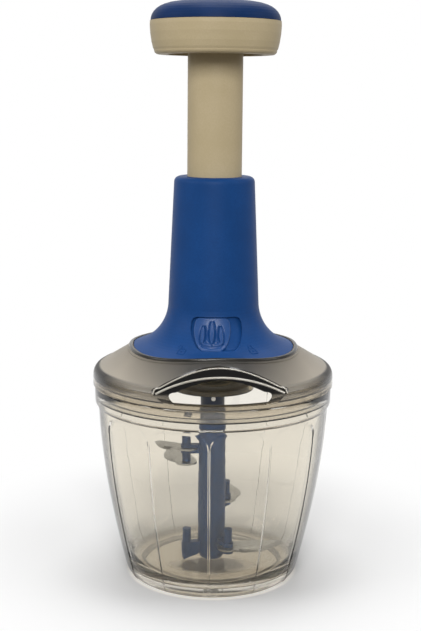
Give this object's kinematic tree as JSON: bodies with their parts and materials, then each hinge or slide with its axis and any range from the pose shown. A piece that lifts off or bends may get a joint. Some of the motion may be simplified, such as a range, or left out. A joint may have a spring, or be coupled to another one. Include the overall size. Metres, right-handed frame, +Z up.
{
  "type": "plunger food chopper",
  "caption": "Hand-press food chopper: clear fluted bowl, smoky lid with spout, flared tower and a sprung knob plunger that spins a blade shaft.",
  "frame": {"origin": "centre of the foot, on the plane of the table", "axes": "+Z up along the shaft, -Y to the front with the lock slider and the spout, +X to the right seen from the front"},
  "size_m": [0.1306, 0.1306, 0.3092],
  "materials": {
    "clear_styrene": "clear moulded, glossy",
    "smoky_styrene": "smoky moulded, glossy",
    "dark_silicone": "matt moulded",
    "dark_acetal": "fine matt",
    "stainless_steel": "ground",
    "zinc_steel": "bright zinc plated",
    "blade_steel": "polished, ground edge",
    "spring_steel": "drawn wire",
    "blue_abs": "satin moulded",
    "beige_abs": "satin moulded",
    "ivory_acetal": "machined",
    "navy_nylon": "moulded"
  },
  "bodies": {
    "bowl": {"bowl": "clear_styrene", "grip_ring": "dark_silicone", "pivot_pin": "stainless_steel"},
    "blade": {"blade_core": "navy_nylon", "blade_hub_lower": "navy_nylon", "blade_hub_middle": "navy_nylon", "blade_hub_upper": "navy_nylon", "drive_socket": "navy_nylon", "blade_lower": "blade_steel", "blade_middle": "blade_steel", "blade_upper": "blade_steel", "blade_upper_rear": "blade_steel", "blade_rivets": "stainless_steel"},
    "lid": {"lid": "smoky_styrene", "lid_seal": "dark_silicone", "hub_plate": "dark_acetal", "thrust_washer": "stainless_steel", "hub_bush": "ivory_acetal", "tower_housing": "blue_abs", "tower_screws": "zinc_steel", "stem_guide_bush": "blue_abs", "return_spring": "spring_steel"},
    "drive": {"drive_spindle": "navy_nylon", "drive_nut": "stainless_steel", "clutch_cap": "navy_nylon", "drive_coupling": "navy_nylon", "coupling_pin": "stainless_steel"},
    "lock": {"lock_slider": "blue_abs", "lock_clip": "navy_nylon"},
    "plunger": {"plunger_tube": "beige_abs", "stop_ring": "navy_nylon", "twist_strip": "stainless_steel", "rod_anchor": "navy_nylon", "knob_base": "beige_abs", "knob_cap": "blue_abs", "knob_screw": "zinc_steel"}
  },
  "joints": [
    {"name": "lid_lift", "type": "slide", "parent": "bowl", "child": "lid", "axis": [0, 0, 1], "range_m": [0, 0.06]},
    {"name": "plunger_press", "type": "slide", "parent": "lid", "child": "plunger", "axis": [0, 0, -1], "range_m": [0, 0.058], "stiffness_N_per_m": 150, "springref_m": -0.03, "deforming": ["return_spring"]},
    {"name": "drive_spin", "type": "hinge", "parent": "lid", "child": "drive", "pos_m": [0, 0, 0.12], "axis": [0, 0, 1], "range_deg": [-2, 722]},
    {"name": "blade_spin", "type": "hinge", "parent": "bowl", "child": "blade", "pos_m": [0, 0, 0.05], "axis": [0, 0, 1], "range_deg": [-2, 722]},
    {"name": "lock_slide", "type": "hinge", "parent": "lid", "child": "lock", "pos_m": [0, 0, 0.145], "axis": [0, 0, 1], "range_deg": [0, 10.5]}
  ],
  "couplings": [
    {"joint": "drive_spin", "follows": "plunger_press", "rad_per_m": 216.66},
    {"joint": "blade_spin", "follows": "plunger_press", "rad_per_m": 216.66}
  ]
}
